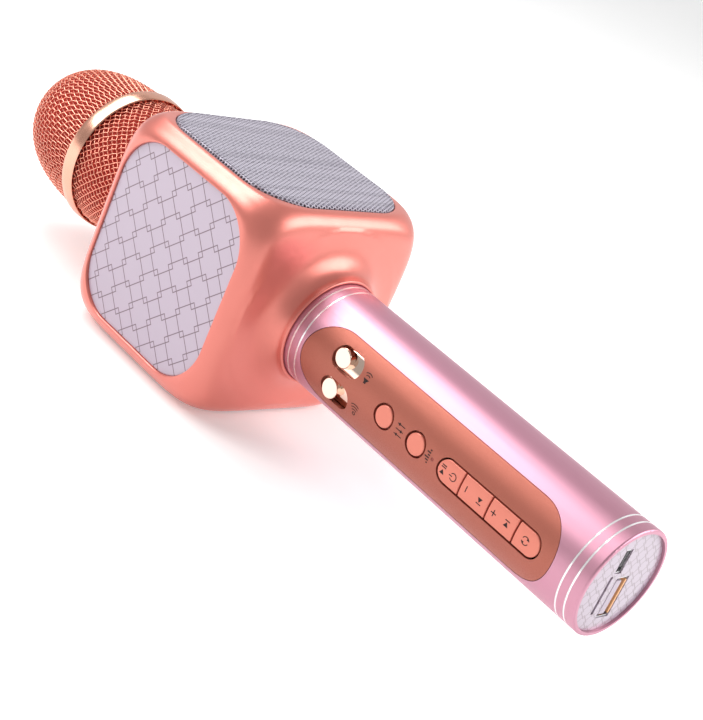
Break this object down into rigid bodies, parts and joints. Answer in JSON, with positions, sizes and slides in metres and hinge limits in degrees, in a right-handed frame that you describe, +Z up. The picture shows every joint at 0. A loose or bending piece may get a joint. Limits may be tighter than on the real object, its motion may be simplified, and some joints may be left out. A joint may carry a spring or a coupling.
{
  "type": "karaoke microphone",
  "caption": "Hand-held karaoke microphone with a woven wire ball, a cube speaker head with light panels and a round handle with sliders and buttons.",
  "frame": {"origin": "bottom centre of the bounding box, on the ground under the middle of the microphone as it lies on one speaker face", "axes": "+X along the handle's axis towards its base end, -Y out of the control panel and front light panel, +Z up out of the upper speaker grille"},
  "size_m": [0.2754, 0.0724, 0.0724],
  "materials": {
    "rose_gold_housing": "satin metallic lacquer",
    "handle_anodised": "satin pink anodised",
    "accent_rings": "polished",
    "panel_rose": "fine metallic matt",
    "button_rose": "satin",
    "slider_chrome": "polished",
    "light_panel": "gloss over printed lattice",
    "base_plate": "gloss over printed lattice",
    "speaker_grille": "perforated, satin",
    "mesh_copper": "woven wire, satin copper",
    "band_polished": "polished rose gold",
    "foam": "open-cell foam",
    "black_plastic": "moulded",
    "circuit_board": "solder mask",
    "steel": "plated",
    "switch_plastic": "moulded",
    "cone_paper": "pressed pulp",
    "coil_copper": "enamelled wire",
    "battery_wrap": "shrink sleeve",
    "led_lens": "light pipe"
  },
  "bodies": {
    "microphone": {"handle_tube": "handle_anodised", "base_accent_ring_outer": "accent_rings", "base_accent_ring_inner": "accent_rings", "neck_accent_ring_inner": "accent_rings", "neck_accent_ring_outer": "accent_rings", "control_panel": "panel_rose", "main_circuit_board": "circuit_board", "port_circuit_board": "circuit_board", "board_screws": "steel", "tone_switch": "switch_plastic", "accompaniment_switch": "switch_plastic", "power_switch": "switch_plastic", "previous_switch": "switch_plastic", "next_switch": "switch_plastic", "mode_switch": "switch_plastic", "volume_slide_pot": "switch_plastic", "echo_slide_pot": "switch_plastic", "battery_cell": "battery_wrap", "inner_chassis": "black_plastic", "base_plate": "base_plate", "usb_a_socket": "steel", "micro_usb_socket": "steel", "card_socket": "steel", "status_led": "led_lens", "speaker_housing": "rose_gold_housing", "front_light_panel": "light_panel", "rear_light_panel": "light_panel", "front_led_board": "circuit_board", "rear_led_board": "circuit_board", "upper_speaker_grille": "speaker_grille", "upper_speaker_basket": "steel", "upper_speaker_cone": "cone_paper", "upper_voice_coil": "coil_copper", "upper_speaker_magnet": "steel", "upper_speaker_screws": "steel", "lower_speaker_grille": "speaker_grille", "lower_speaker_basket": "steel", "lower_speaker_cone": "cone_paper", "lower_voice_coil": "coil_copper", "lower_speaker_magnet": "steel", "lower_speaker_screws": "steel", "handle_lock_nut": "steel", "neck_ring": "steel", "lower_grille_bowl": "mesh_copper", "grille_band": "band_polished", "upper_grille_dome": "mesh_copper", "windscreen_foam": "foam", "microphone_capsule": "steel", "capsule_holder": "black_plastic"},
    "tone_button": {"tone_button": "button_rose"},
    "accompaniment_button": {"accompaniment_button": "button_rose"},
    "power_button": {"power_button": "button_rose"},
    "previous_button": {"previous_button": "button_rose"},
    "next_button": {"next_button": "button_rose"},
    "mode_button": {"mode_button": "button_rose"},
    "volume_slider": {"volume_slider": "slider_chrome"},
    "echo_slider": {"echo_slider": "slider_chrome"}
  },
  "joints": [
    {"name": "tone_press", "type": "slide", "parent": "microphone", "child": "tone_button", "axis": [0, 1, 0], "range_m": [0, 0.0008], "stiffness_N_per_m": 800, "springref_m": -0.001},
    {"name": "accompaniment_press", "type": "slide", "parent": "microphone", "child": "accompaniment_button", "axis": [0, 1, 0], "range_m": [0, 0.0008], "stiffness_N_per_m": 800, "springref_m": -0.001},
    {"name": "power_press", "type": "slide", "parent": "microphone", "child": "power_button", "axis": [0, 1, 0], "range_m": [0, 0.0008], "stiffness_N_per_m": 800, "springref_m": -0.001},
    {"name": "previous_press", "type": "slide", "parent": "microphone", "child": "previous_button", "axis": [0, 1, 0], "range_m": [0, 0.0008], "stiffness_N_per_m": 800, "springref_m": -0.001},
    {"name": "next_press", "type": "slide", "parent": "microphone", "child": "next_button", "axis": [0, 1, 0], "range_m": [0, 0.0008], "stiffness_N_per_m": 800, "springref_m": -0.001},
    {"name": "mode_press", "type": "slide", "parent": "microphone", "child": "mode_button", "axis": [0, 1, 0], "range_m": [0, 0.0008], "stiffness_N_per_m": 800, "springref_m": -0.001},
    {"name": "volume_slide", "type": "slide", "parent": "microphone", "child": "volume_slider", "axis": [1, 0, 0], "range_m": [0, 0.0043]},
    {"name": "echo_slide", "type": "slide", "parent": "microphone", "child": "echo_slider", "axis": [1, 0, 0], "range_m": [0, 0.0043]}
  ]
}
